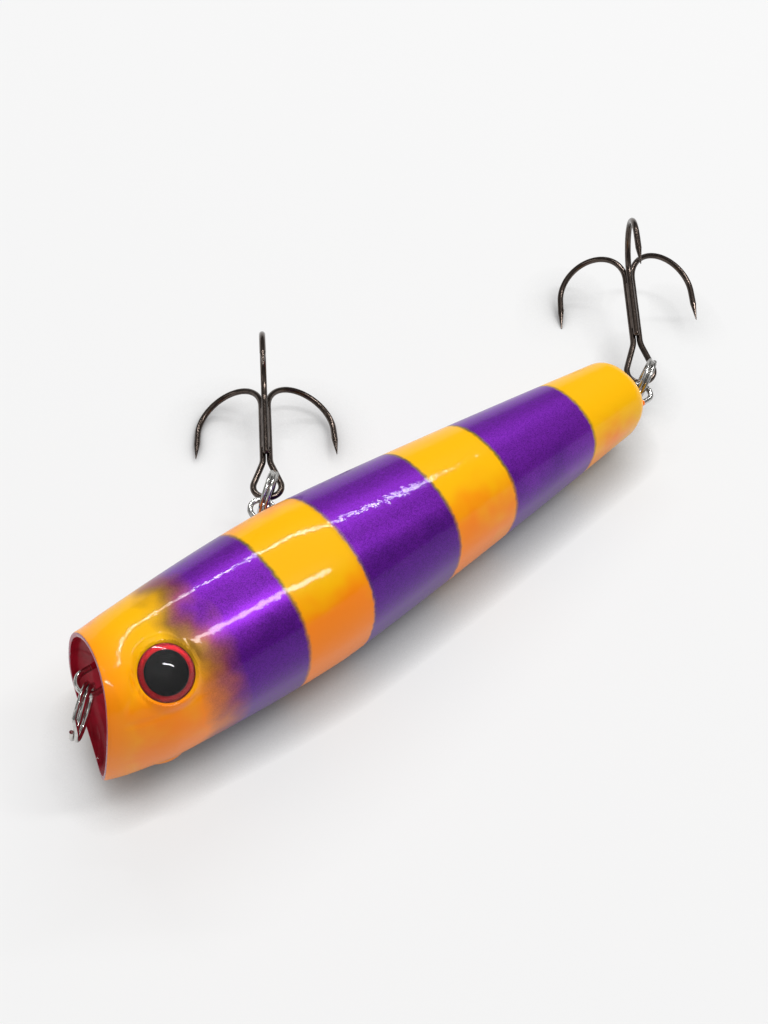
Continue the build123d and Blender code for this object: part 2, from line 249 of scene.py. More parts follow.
def cup_point(body, angle, share):
    """Point of the cup's surface at a share of the lip's inner edge."""
    _, y, z = lip_point(body, angle, body.lip_land, 0)
    middle_z = (body.mouth_back - body.mouth_belly) / 2
    y, z = y * share, middle_z + (z - middle_z) * share
    hollow = max(0.0, 1 - share ** 2) ** (1 / 3)
    seam = body.seam_depth if abs(cos(angle)) < 1e-6 else 0
    return rim_x(body, z) + body.cup_depth * hollow + seam, y, z


def tail_point(body, angle, turn):
    """Point of the rounded tail edge, at a turn from 0 on the flank to pi/2 on the end face."""
    x = body.length - body.tail_round * (1 - sin(turn))
    y, z = outline(body, x, angle, body.tail_round * (1 - cos(turn)))
    return x, y, z


# Rounded lip, in millimetres inside the rim and behind the sweep
LIP_STEPS = ((0.0, 0.22), (0.05, 0.08), (0.16, 0.01), (0.3, 0.0), (0.48, 0.0), (0.58, 0.04))
# Rings of the cup and of the tail's end, as shares of their edge, and of the tail's rounding, as turns
CUP_SHARES = (1.0, 0.995, 0.98, 0.95, 0.9, 0.84, 0.76, 0.66, 0.55, 0.43, 0.3, 0.17, 0.06)
TAIL_TURNS = [pi / 2 * step / 8 for step in range(1, 9)]
TAIL_SHARES = (0.8, 0.5, 0.2)
# The first ring behind the lip
FIRST_RING = 0.35 * MM
# Pressed lines of the cheek, from and to a distance behind the mouth and an angle above the flank
CHEEK_LINES = (((4.9 * MM, radians(6)), (0.6 * MM, radians(50))),
               ((0.9 * MM, radians(55)), (13.0 * MM, radians(51))))


def body_stations(body):
    """The body's rings from the cup's middle to the tail's middle, as (kind, value)."""
    stations = [("cup", share) for share in reversed(CUP_SHARES)]
    stations += [("lip", step) for step in reversed(LIP_STEPS)]
    place = FIRST_RING
    while place < body.length - body.tail_round:
        stations.append(("flank", place))
        place += body.head_step if place < body.head_length else body.flank_step
    stations.append(("tail", 0.0))
    stations += [("tail", turn) for turn in TAIL_TURNS]
    stations += [("end", share) for share in TAIL_SHARES]
    return stations


def crease(body, x, angle):
    """Depth of the cheek's pressed lines at x and an angle from the flank towards the back."""
    depth = 0.0
    across = angle * body.neck_half
    for (x0, a0), (x1, a1) in CHEEK_LINES:
        start, end = Vector((x0, a0 * body.neck_half)), Vector((x1, a1 * body.neck_half))
        run = end - start
        share = min(1, max(0, (Vector((x, across)) - start).dot(run) / run.length_squared))
        off = (Vector((x, across)) - start - run * share).length
        fade = 1 - max(0, share - 0.7) / 0.3
        depth = max(depth, body.crease_depth * fade * exp(-(off / body.crease_width) ** 2))
    return depth


def station_point(body, kind, value, angle):
    """Point of the body's surface on one ring."""
    if kind == "cup":
        return cup_point(body, angle, value)
    if kind == "lip":
        return lip_point(body, angle, value[0] * MM, value[1] * MM)
    if kind == "flank":
        return flank_point(body, value, angle)
    if kind == "tail":
        return tail_point(body, angle, value)
    x, y, z = tail_point(body, angle, TAIL_TURNS[-1])
    return x, y * value, z * value


def raise_bead(body, eye, point):
    """Flatten the skin round an eye and raise the bead at its edge."""
    local = eye.inverted() @ point
    reach = hypot(local.x, local.y)
    if local.z < -body.bead_below or reach > body.eye_radius + body.bead_reach:
        return point
    near = 1 - min(1, max(0, (reach - body.eye_radius - body.bead_flat) / body.bead_skirt))
    near = near * near * (3 - 2 * near)
    ridge = exp(-((reach - body.eye_radius - body.bead_offset) / body.bead_width) ** 2)
    local.z += (-body.bead_foot - local.z) * near + body.bead_height * ridge
    return eye @ local


def press_body(piece, body, stations, eyes):
    """Move the tube's vertices to the body's surface, with the eyes' beads and the cheeks' lines."""
    for face in piece.data.polygons:
        kind, value = stations[int(face.center.x / MM)]
        face.material_index = {"cup": 1, "lip": 2}.get(kind, 0)
        if kind == "lip" and value[0] < body.lip_painted:
            face.material_index = 0
    for vertex in piece.data.vertices:
        kind, value = stations[round(vertex.co.x / MM)]
        angle = atan2(vertex.co.z, vertex.co.y)
        point = Vector(station_point(body, kind, value, angle))
        if kind in ("flank", "lip") and point.x < 2 * body.head_length:
            if kind == "flank":
                from_flank = angle if abs(angle) < pi / 2 else (pi - angle if angle > 0 else -pi - angle)
                share = 1 - crease(body, point.x, from_flank) / body.neck_half
                point.y, point.z = point.y * share, point.z * share
            for eye in eyes:
                point = raise_bead(body, eye, point)
        vertex.co = point


def socket_cutter(body, eye):
    """A round cutter for an eye's socket."""
    above = 4 * MM
    deselect()
    bpy.ops.mesh.primitive_cylinder_add(vertices=EYE_SIDES, radius=body.eye_radius + body.eye_gap,
                                        depth=body.socket_depth + above)
    cutter = named("socket_cutter")
    cutter.data.transform(eye @ Matrix.Translation((0, 0, (above - body.socket_depth) / 2)))
    return cutter


def core_cutter(body):
    """The hollow inside the shells, drawn in from the outer surface."""
    steps = 20
    start, end = body.core_start, body.core_end
    piece = tube("core_cutter", 48, [index * MM for index in range(steps + 1)])
    for vertex in piece.data.vertices:
        x = start + (end - start) * vertex.co.x / (steps * MM)
        y, z = outline(body, x, atan2(vertex.co.z, vertex.co.y), body.wall)
        vertex.co = (x, y, z)
    activate(piece)
    edit()
    bpy.ops.mesh.select_all(action="DESELECT")
    bpy.ops.mesh.select_non_manifold()
    bpy.ops.mesh.edge_face_add()
    bpy.ops.mesh.select_all(action="SELECT")
    bpy.ops.mesh.normals_make_consistent(inside=False)
    bpy.ops.object.mode_set(mode="OBJECT")
    return piece


# ---- Material helpers ----
class Finish:
    """A procedural material, built node by node."""

    def __init__(self, name, **shader):
        self.material = bpy.data.materials.new(name)
        self.material.use_nodes = True
        self.tree = self.material.node_tree
        self.shader = self.tree.nodes["Principled BSDF"]
        self.into(self.shader, shader)
        self.coordinates = self.node("ShaderNodeTexCoord").outputs["Object"]

    def into(self, node, values):
        """Set or link a node's inputs, by name or number."""
        for key, value in values.items():
            socket = node.inputs[key.replace("_", " ") if isinstance(key, str) else key]
            if isinstance(value, bpy.types.NodeSocket):
                self.tree.links.new(value, socket)
            else:
                socket.default_value = value

    def node(self, kind, values=None, **settings):
        """Add a node with its settings and inputs."""
        node = self.tree.nodes.new(kind)
        for key, value in settings.items():
            setattr(node, key, value)
        self.into(node, values or {})
        return node

    def frame(self, matrix):
        """Coordinates in millimetres in a frame of the lure."""
        place, turn, _ = matrix.decompose()
        return self.node("ShaderNodeMapping", {"Vector": self.coordinates, "Location": place,
                                               "Rotation": turn.to_euler(), "Scale": TO_MM},
                         vector_type="TEXTURE").outputs[0]

    def parts(self, vector):
        """The three numbers of a vector."""
        return self.node("ShaderNodeSeparateXYZ", {0: vector}).outputs

    def sum(self, kind, *values, clamp=False):
        """A math node."""
        return self.node("ShaderNodeMath", dict(enumerate(values)), operation=kind, use_clamp=clamp).outputs[0]

    def noise(self, vector, scale, detail=2.0, rough=0.5):
        """A noise factor, with its grain per unit of the vector."""
        return self.node("ShaderNodeTexNoise", {"Vector": vector, "Scale": scale, "Detail": detail,
                                                "Roughness": rough}).outputs["Fac"]

    def ramp(self, factor, stops, interpolation="LINEAR"):
        """A colour ramp; each stop is a place and a colour or a grey."""
        node = self.node("ShaderNodeValToRGB", {0: factor})
        node.color_ramp.interpolation = interpolation
        points = node.color_ramp.elements
        while len(points) < len(stops):
            points.new(0.5)
        for point, (place, colour) in zip(points, stops):
            point.position = place
            point.color = (*colour, 1) if hasattr(colour, "__len__") else (colour, colour, colour, 1)
        return node.outputs[0]

    def span(self, value, low, high, start=0.0, end=1.0, kind="SMOOTHSTEP"):
        """Map a value from low..high to start..end."""
        return self.node("ShaderNodeMapRange", {"Value": value, "From_Min": low, "From_Max": high,
                                                "To_Min": start, "To_Max": end},
                         interpolation_type=kind).outputs[0]

    def mix(self, factor, first, second, blend="MIX"):
        """Mix two colours."""
        node = self.node("ShaderNodeMix", data_type="RGBA", blend_type=blend)
        for index, value in ((0, factor), (6, first), (7, second)):
            if not isinstance(value, bpy.types.NodeSocket) and index:
                value = (*value, 1)
            self.into(node, {index: value})
        return node.outputs[2]

    def bump(self, height, strength, distance, into="Normal"):
        """Lead a height into the shader's normal."""
        out = self.node("ShaderNodeBump", {"Height": height, "Strength": strength, "Distance": distance})
        self.into(self.shader, {into: out.outputs[0]})


def band_stops(look):
    """Stops of the bands' colours and of the flake's mask, as shares of BAND_SPAN along the body."""
    purple, edge, yellow = tuple(look.purple), tuple(look.band_edge), tuple(look.yellow)
    start, end = look.fade_start / BAND_SPAN, look.fade_end / BAND_SPAN
    stops = [(start, yellow), (start * 0.6 + end * 0.4, tuple(look.fade)),
             (start * 0.3 + end * 0.7, tuple(look.mauve)), (end, purple)]
    mask = [(start, 0.0), (end, 1.0)]
    for index, place in enumerate(look.bands):
        into, out = (purple, yellow) if index % 2 == 0 else (yellow, purple)
        stops += [((place - look.spray) / BAND_SPAN, into), (place / BAND_SPAN, edge),
                  ((place + look.spray) / BAND_SPAN, out)]
        mask += [((place - look.flake_edge) / BAND_SPAN, float(index % 2 == 0)),
                 ((place + look.flake_edge) / BAND_SPAN, float(index % 2))]
    return stops, mask


def paint_body(look, matrix):
    """Airbrushed orange head, purple flake and yellow bands under a thick clear coat."""
    finish = Finish("body_paint", Coat_Weight=0.42, Coat_Roughness=0.02, Coat_IOR=1.38, Specular_IOR_Level=0.05)
    place = finish.frame(matrix)
    x, _, z = finish.parts(place)
    # The bands' edges waver finely, and the fade behind the head more widely
    wander = finish.sum("MULTIPLY_ADD", finish.noise(place, 1.3, 3), 0.5, -0.25)
    drift = finish.sum("MULTIPLY_ADD", finish.noise(place, 0.16, 2), 9.0, -4.5)
    head = finish.sum("SUBTRACT", 1, finish.span(x, 14, 20))
    along = finish.sum("ADD", x, finish.sum("ADD", wander, finish.sum("MULTIPLY", drift, head)))
    share = finish.sum("DIVIDE", along, BAND_SPAN)
    stops, mask = band_stops(look)
    bands, flake_mask = finish.ramp(share, stops), finish.ramp(share, mask)
    # Orange airbrushed along the back and belly, and over the front of the head
    height = finish.sum("ABSOLUTE", finish.sum("ADD", z, 1.2))
    side = finish.span(finish.sum("ADD", height, drift), 4.2, 9.6)
    nose = finish.span(x, 8.0, -2.0, 0.0, 0.8)
    warm = finish.sum("MAXIMUM", finish.sum("MULTIPLY", side, 0.85), nose)
    warm = finish.sum("MULTIPLY", warm, finish.sum("SUBTRACT", 1, flake_mask, clamp=True))
    colour = finish.mix(warm, bands, tuple(look.orange))
    dark = finish.sum("MULTIPLY", finish.sum("MULTIPLY", side, flake_mask), 0.6)
    colour = finish.mix(dark, colour, tuple(look.purple_dark))
    # Fine flakes in the purple
    flakes = finish.node("ShaderNodeTexVoronoi", {"Vector": place, "Scale": 9.0}, feature="F1")
    glint = finish.parts(flakes.outputs["Color"])[0]
    spread = finish.sum("MULTIPLY", flake_mask, look.flake)
    level = finish.sum("ADD", 1, finish.sum("MULTIPLY", finish.sum("SUBTRACT", glint, 0.5), spread))
    tint = finish.node("ShaderNodeVectorMath", {0: colour, 3: level}, operation="SCALE").outputs[0]
    finish.into(finish.shader, {
        "Base Color": tint,
        "Metallic": finish.sum("MULTIPLY", flake_mask, 0.5),
        "Roughness": finish.sum("MULTIPLY_ADD", glint, 0.12, 0.3)})
    # Waves in the clear coat and, softer, in the paint under it
    finish.bump(finish.noise(place, 0.55, 3, 0.55), 1.0, look.ripple, into="Coat Normal")
    finish.bump(finish.noise(place, 0.4, 2), 0.6, look.ripple)
    return finish.material


def plain_finish(name, colour, other, scale, rough, matrix, ripple=0.0, **shader):
    """A finish whose colour and roughness vary finely over the piece."""
    finish = Finish(name, **shader)
    place = finish.frame(matrix)
    grain = finish.noise(place, scale, 4, 0.6)
    cloud = finish.noise(place, scale * 0.17, 2)
    finish.into(finish.shader, {
        "Base Color": finish.mix(finish.span(finish.sum("ADD", grain, cloud), 0.8, 1.25), colour, other),
        "Roughness": finish.span(cloud, 0.3, 0.7, rough[0], rough[1])})
    if ripple:
        finish.bump(grain, 0.5, ripple)
    return finish


def shade(colour, factor):
    """A colour made darker or lighter."""
    return tuple(part * factor for part in colour)


def dress(node, material):
    """Give a CAD node this material in all of its slots."""
    for slot in frame["nodes"][node].material_slots:
        slot.material = material


# ---- Sizes and colours ----
def length(name, text, value, **more):
    """A length in millimetres, shown in the scene's units."""
    return FloatProperty(name=name, description=text, default=value * MM, unit="LENGTH", precision=5, **more)


def number(name, text, value, **more):
    """A plain number."""
    return FloatProperty(name=name, description=text, default=value, **more)


def colour(name, text, value):
    """A colour, linear."""
    return FloatVectorProperty(name=name, description=text, default=value, subtype="COLOR", min=0, max=1)


class PopperBody(bpy.types.PropertyGroup):
    """Sizes of the body's visible shape."""
    length: length("Length", "From the mouth's middle to the tail", 92.8)
    mouth_flank: length("Mouth flank", "From the axis to the rim at a flank", 10.75)
    mouth_back: length("Mouth back", "From the axis to the rim at the back", 6.5)
    mouth_belly: length("Mouth belly", "From the axis to the rim at the belly", 8.6)
    head_blend: length("Head blend", "Where the head's own section ends", 6.5)
    flank_reach: length("Flank reach", "How far forward the flank blends", 5.6)
    back_reach: length("Back reach", "How far forward the back blends", 8.4)
    belly_reach: length("Belly reach", "How far forward the belly blends", 4.6)
    flare_power: number("Flare", "Exponent of the head's blend", 1.5)
    neck_half: length("Neck", "Half the height behind the lips", 9.0)
    neck_at: length("Neck place", "Where the lips' flare ends", 3.6)
    girth_half: length("Girth", "Half the greatest height", 10.4)
    girth_at: length("Girth place", "Where the body is highest", 32.0)
    tail_half: length("Tail", "Half the height at the tail", 5.4)
    tail_round: length("Tail rounding", "Radius of the tail's edge", 2.6)
    flank_ratio: number("Flank ratio", "Section width over height", 1.06)
    squareness: number("Squareness", "Exponent of the section, 2 is an ellipse", 2.29)
    taper_power: number("Taper", "How late the taper to the tail starts", 1.19)
    mouth_slant: number("Mouth slant", "Slant of the mouth in degrees", 18.0)
    mouth_hollow: length("Mouth sweep", "Radius of the rim's sweep", 37.5)
    mouth_set_back: length("Mouth set back", "The sweep's middle behind the mouth's place", 0.75)
    rim_blend: length("Rim blend", "How far back the rings follow the rim", 16.0)
    lip_land: length("Lip width", "Width of the lip round the cup", 0.62)
    lip_painted: number("Painted lip", "Millimetres of the lip in the body's colour", 0.1)
    cup_depth: length("Cup depth", "Depth of the cup behind the sweep", 2.95)
    seam_depth: length("Seam depth", "Depth of the parting line in the cup", 0.07)
    head_length: length("Head length", "How far the fine rings go", 15.5)
    head_step: length("Head step", "Spacing of the head's rings", 0.24)
    flank_step: length("Flank step", "Spacing of the rings behind the head", 1.3)
    wall: length("Wall", "Thickness of the shells", 1.2)
    core_start: length("Core start", "Where the hollow inside begins", 11.2)
    core_end: length("Core end", "Where the hollow inside ends", 72.4)
    eye_radius: length("Eye radius", "Radius of the set-in eyes", 3.4)
    eye_gap: length("Eye gap", "Gap round an eye", 0.03)
    socket_depth: length("Socket depth", "Depth of the eye sockets", 1.1)
    eye_sunk: length("Eye sunk", "How far an eye sits behind the socket's mouth", 0.35)
    lens_gap: length("Lens gap", "Gap round a dome and under it", 0.02)
    foil_gap: length("Foil gap", "Gap under a foil", 0.05)
    foil_depth: length("Foil depth", "How far a foil's face sits behind the dome", 0.1)
    pupil_radius: length("Pupil radius", "Radius of the black pupil", 2.62)
    lens_dome: length("Dome height", "Height of the clear dome", 1.1)
    bead_offset: length("Bead place", "The bead's crest outside the eye", 0.36)
    bead_width: length("Bead width", "Width of the bead round an eye", 0.24)
    bead_height: length("Bead height", "Height of the bead round an eye", 0.3)
    bead_skirt: length("Bead skirt", "How far the bead's foot spreads", 0.8)
    bead_flat: length("Bead flat", "Width of the flattened skin round an eye", 0.45)
    bead_foot: length("Bead foot", "The flattened skin under the socket's mouth", 0.06)
    bead_reach: length("Bead reach", "How far outside an eye the skin is shaped", 2.5)
    bead_below: length("Bead depth", "How far under an eye the skin is shaped", 3.0)
    crease_depth: length("Crease depth", "Depth of the cheek lines", 0.11)
    crease_width: length("Crease width", "Half width of the cheek lines", 0.4)
    nose_eyelet_at: length("Nose eyelet", "From the mouth to the cup's middle", 4.3)
    belly_eyelet_at: length("Belly eyelet", "From the mouth to the belly eyelet", 35.3)
    rings: IntProperty(name="Segments", description="Vertices round the body", default=288, min=48)


class PopperLook(bpy.types.PropertyGroup):
    """Colours and places of the paint."""
    yellow: colour("Yellow", "Bands and head", (0.93, 0.47, 0.0))
    orange: colour("Orange", "Back, belly and front of the head", (0.95, 0.19, 0.004))
    purple: colour("Purple", "Flake between the bands", (0.15, 0.013, 0.34))
    purple_dark: colour("Dark purple", "Purple towards back and belly", (0.05, 0.003, 0.16))
    band_edge: colour("Band edge", "Overspray at the bands' edges", (0.20, 0.13, 0.02))
    fade: colour("Fade", "Between head and purple", (0.34, 0.17, 0.02))
    mauve: colour("Mauve", "Next to the purple behind the eyes", (0.22, 0.05, 0.11))
    cup: colour("Cup red", "Inside of the mouth", (0.46, 0.013, 0.034))
    cup_deep: colour("Deep cup red", "Shade in the cup's paint", (0.30, 0.008, 0.020))
    lip: colour("Lip line", "Thin line on the lip", (0.30, 0.07, 0.15))
    bands: FloatVectorProperty(name="Band edges", description="Millimetres from the mouth", size=5,
                               default=(25.0, 35.4, 51.2, 62.5, 79.6))
    spray: number("Overspray", "Half width of the bands' edges in millimetres", 0.3)
    flake_edge: number("Flake edge", "Half width of the flake's edges in millimetres", 0.12)
    fade_start: number("Fade start", "Millimetres from the mouth", 8.6)
    fade_end: number("Fade end", "Millimetres from the mouth", 16.0)
    flake: number("Flake", "Strength of the flakes", 0.55)
    ripple: FloatProperty(name="Ripple", description="Waviness of the clear coat", default=0.045 * MM,
                          unit="LENGTH", precision=6)
    nickel: colour("Black nickel", "Hooks", (0.10, 0.078, 0.066))
    steel: colour("Steel", "Rings and eyelets", (0.62, 0.61, 0.59))
    foil: colour("Eye foil", "Red of the eyes", (0.7, 0.006, 0.014))
    # The deeper red of the eyes serves both a random cloud and the eyes' painted shade
    foil_deep_and_shade: colour("Deep eye foil", "Shade in the red of the eyes", (0.24, 0.003, 0.008))


class PopperStage(bpy.types.PropertyGroup):
    """The camera's place, the floor and the lights."""
    camera_place: FloatVectorProperty(name="Camera", description="From the floor under the mouth", subtype="XYZ",
                                      unit="LENGTH", default=(-0.0339, -0.0707, 0.1553))
    camera_yaw: number("Yaw", "Degrees from +X", 53.1)
    camera_pitch: number("Pitch", "Degrees down", 50.8)
    camera_lens: number("Lens", "Focal length in millimetres", 47.36)
    camera_shift: FloatVectorProperty(name="Shift", description="Lens shift", size=2, default=(0.160, -0.054))
    floor_colour: colour("Floor", "Plain pale floor", (0.25, 0.25, 0.25))
    floor_glow: number("Floor glow", "Light that the floor gives off itself", 0.64)
    # Reach of the floor's painted contact shadow, where its glow is dimmed near a piece
    touch: length("Contact shade", "How far from a piece the floor's glow is dimmed", 7.0)
    sky: number("Sky", "Strength of the soft surrounding light", 0.88)


# ---- Operators ----
def half_of(body_mesh, name, sign):
    """One half of the body, cut at the mid-plane and closed."""
    half = copy_of(body_mesh, name)
    edit()
    bpy.ops.mesh.bisect(plane_co=(0, 0, 0), plane_no=(0, sign, 0), use_fill=True, clear_inner=True,
                        threshold=1e-7)
    bpy.ops.object.mode_set(mode="OBJECT")
    return half


class OBJECT_OT_popper_body(bpy.types.Operator):
    """Model the two painted halves of the body and their cup"""
    bl_idname = "object.popper_body"
    bl_label = "Body halves"

    def execute(self, context):
        body, look = context.scene.popper_body, context.scene.popper_look
        matrix = lure_matrix(body.length)
        eyes = [matrix.inverted() @ eye_matrix(side, body.socket_depth - body.eye_sunk) for side in ("right", "left")]
        stations = body_stations(body)
        piece = tube("body", body.rings, [index * MM for index in range(len(stations))])
        for material in self.materials(look, matrix):
            piece.data.materials.append(material)
        merge_ring(piece, 0.0)
        merge_ring(piece, (len(stations) - 1) * MM)
        closed = [vertex for vertex in piece.data.vertices if hypot(vertex.co.y, vertex.co.z) < 1e-6]
        ends = {vertex.index: vertex.co.x for vertex in closed}
        press_body(piece, body, stations, eyes)
        for index, place in ends.items():
            kind = stations[round(place / MM)][0]
            if kind == "cup":
                piece.data.vertices[index].co = cup_point(body, pi / 2, 0.0)
            else:
                piece.data.vertices[index].co = (body.length, 0, 0)
        activate(piece)
        edit()
        bpy.ops.mesh.normals_make_consistent(inside=False)
        bpy.ops.object.mode_set(mode="OBJECT")
        for eye in eyes:
            cut_out(piece, socket_cutter(body, eye))
        for side, sign in (("right", 1), ("left", -1)):
            half = half_of(piece, side + "_half", sign)
            for face in half.data.polygons:
                if abs(face.center.y) < 1e-7:
                    face.material_index = 3
            cut_out(half, core_cutter(body))
            half.data.transform(matrix)
            smooth(half)
            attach(half, "lure")
            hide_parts(side + "_shell")
        bpy.data.objects.remove(piece)
        return {"FINISHED"}

    def materials(self, look, matrix):
        """The body's finishes: paint, cup, lip line and bare plastic."""
        cup = plain_finish("cup_red", tuple(look.cup), tuple(look.cup_deep), 0.5, (0.2, 0.28), matrix,
                           Specular_IOR_Level=0.05, Coat_Weight=0.15, Coat_Roughness=0.04)
        lip = plain_finish("lip_line", tuple(look.lip), tuple(look.cup), 1.2, (0.25, 0.35), matrix,
                           Specular_IOR_Level=0.2, Coat_Weight=0.4, Coat_Roughness=0.05)
        shell = plain_finish("bare_plastic", (0.72, 0.7, 0.66), (0.62, 0.6, 0.56), 1.0, (0.4, 0.5), matrix)
        return [paint_body(look, matrix), cup.material, lip.material, shell.material]


class OBJECT_OT_popper_eyes(bpy.types.Operator):
    """Model the clear domes, black pupils and red foils of the eyes"""
    bl_idname = "object.popper_eyes"
    bl_label = "Eyes"

    def execute(self, context):
        body, look = context.scene.popper_body, context.scene.popper_look
        radius = body.eye_radius - body.lens_gap
        pupil_low, pupil_high = -body.foil_depth + body.lens_gap, -body.lens_gap / 2
        clear = Finish("clear_dome", Transmission_Weight=1.0, Roughness=0.0, IOR=1.12, Coat_Weight=0.6,
                       Coat_Roughness=0.04, Coat_IOR=1.45).material
        for side in ("right", "left"):
            eye = eye_matrix(side, body.socket_depth - body.eye_sunk)
            lens = self.dome(side + "_dome", radius, body.lens_dome, eye)
            lens.data.materials.append(clear)
            pupil = self.disc(side + "_pupil", body.pupil_radius, pupil_low, pupil_high, eye)
            pupil.data.materials.append(self.pupil_black(side, eye))
            foil = self.disc(side + "_foil", radius, body.foil_gap - body.socket_depth, -body.foil_depth, eye)
            foil.data.materials.append(self.foil_red(side, body, look, eye))
            for part, slot in ((lens, "eye_lens"), (pupil, "eye_foil"), (foil, "eye_foil")):
                smooth(part)
                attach(part, "lure")
            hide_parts(side + "_eye_lens")
            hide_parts(side + "_eye_foil")
        return {"FINISHED"}

    def dome(self, name, radius, height, eye):
        """A clear cap of a ball, with its flat side at the socket's mouth."""
        ball = (radius ** 2 + height ** 2) / (2 * height)
        deselect()
        bpy.ops.mesh.primitive_uv_sphere_add(segments=EYE_SIDES, ring_count=64, radius=ball)
        piece = named(name)
        edit()
        bpy.ops.mesh.bisect(plane_co=(0, 0, ball - height), plane_no=(0, 0, 1), clear_inner=True, use_fill=True,
                            threshold=1e-7)
        bpy.ops.mesh.select_all(action="SELECT")
        bpy.ops.mesh.normals_make_consistent(inside=False)
        bpy.ops.object.mode_set(mode="OBJECT")
        piece.data.transform(eye @ Matrix.Translation((0, 0, height - ball)))
        return piece

    def disc(self, name, radius, low, high, eye):
        """A disc with softened edges, between two heights in an eye's frame."""
        deselect()
        bpy.ops.mesh.primitive_cylinder_add(vertices=EYE_SIDES, radius=radius, depth=high - low)
        piece = named(name)
        modifier = piece.modifiers.new("Edge", "BEVEL")
        modifier.width, modifier.segments = min(0.03 * MM, (high - low) / 4), 2
        bpy.ops.object.modifier_apply(modifier=modifier.name)
        piece.data.transform(eye @ Matrix.Translation((0, 0, (low + high) / 2)))
        return piece

    def pupil_black(self, side, eye):
        """Matt black of a pupil."""
        return plain_finish(side + "_pupil_black", (0.003, 0.003, 0.004), (0.007, 0.006, 0.007), 2.0, (0.25, 0.4),
                            eye, Specular_IOR_Level=0.03).material

    def foil_red(self, side, body, look, eye):
        """Red reflecting foil, brightest in a ring towards its rim, with painted shade next to the pupil and at its
        edge by the socket wall.
        """
        foil = Finish(side + "_foil_red", Metallic=0.3, Roughness=0.3, Specular_IOR_Level=0.1)
        place = foil.frame(eye)
        x, y, _ = foil.parts(place)
        reach = foil.sum("SQRT", foil.sum("ADD", foil.sum("MULTIPLY", x, x), foil.sum("MULTIPLY", y, y)))
        deep_red_and_shade = tuple(look.foil_deep_and_shade)
        # Painted shade: the red darkens next to the pupil and at the foil's edge by the socket wall
        red = foil.ramp(foil.sum("DIVIDE", reach, body.eye_radius / MM),
                        [(0.7, deep_red_and_shade), (0.88, tuple(look.foil)), (0.98, deep_red_and_shade)])
        cloud = foil.span(foil.noise(place, 1.1, 3), 0.45, 0.75, 0, 0.6)
        foil.into(foil.shader, {"Base Color": foil.mix(cloud, red, deep_red_and_shade)})
        return foil.material


class OBJECT_OT_popper_metal(bpy.types.Operator):
    """Finish the hooks, rings, eyelets and weights"""
    bl_idname = "object.popper_metal"
    bl_label = "Hooks, rings and eyelets"

    def execute(self, context):
        body, look = context.scene.popper_body, context.scene.popper_look
        matrix = lure_matrix(body.length)
        nickel, steel = tuple(look.nickel), tuple(look.steel)

        def metal(name, colour, other, scale, rough, ripple=0.0):
            """Bare metal."""
            return plain_finish(name, colour, other, scale, rough, matrix, ripple * MM, Metallic=1.0)

        hook = metal("black_nickel", nickel, shade(nickel, 0.55), 1.6, (0.16, 0.27), 0.004)
        braze = metal("braze", shade(nickel, 1.5), nickel, 3.0, (0.3, 0.45), 0.02)
        ring = metal("ring_steel", steel, shade(steel, 0.6), 2.4, (0.12, 0.22), 0.003)
        ball = metal("weight_steel", (0.5, 0.5, 0.52), (0.35, 0.35, 0.37), 1.5, (0.25, 0.4))
        brass = metal("rattle_brass", (0.7, 0.5, 0.2), (0.5, 0.33, 0.12), 1.5, (0.25, 0.4))
        for name in ("belly", "tail"):
            dress(name + "_double_hook", hook.material)
            dress(name + "_single_hook", hook.material)
            dress(name + "_hook_braze", braze.material)
            dress(name + "_weight", ball.material)
        dress("rattle_ball", brass.material)
        for name in ("nose", "belly", "tail"):
            dress(name + "_split_ring", ring.material)
            dress(name + "_eyelet", self.eyelet(name, body, look, matrix))
        return {"FINISHED"}

    def eyelet(self, name, body, look, matrix):
        """Steel wire with the body's paint at its foot."""
        steel = tuple(look.steel)
        finish = plain_finish(name + "_eyelet_wire", steel, shade(steel, 0.6), 2.4, (0.14, 0.25), matrix,
                              ripple=0.003 * MM)
        place = finish.frame(matrix)
        x, _, z = finish.parts(place)
        rough = finish.sum("MULTIPLY_ADD", finish.noise(place, 1.5, 2), 0.8, -0.4)
        if name == "tail":
            out, paint, cover = finish.sum("SUBTRACT", x, body.length / MM), tuple(look.orange), 1.9
        elif name == "belly":
            girth = half_height(body, body.belly_eyelet_at) / MM
            out, paint, cover = finish.sum("SUBTRACT", finish.sum("MULTIPLY", z, -1), girth), tuple(look.orange), 0.9
        else:
            out, paint, cover = finish.sum("SUBTRACT", body.nose_eyelet_at / MM, x), tuple(look.cup), 0.8
        bare = finish.span(finish.sum("ADD", out, rough), cover - 0.1, cover + 0.1)
        metal = finish.shader.inputs["Base Color"].links[0].from_socket
        finish.into(finish.shader, {"Base Color": finish.mix(bare, paint, metal), "Metallic": bare})
        return finish.material


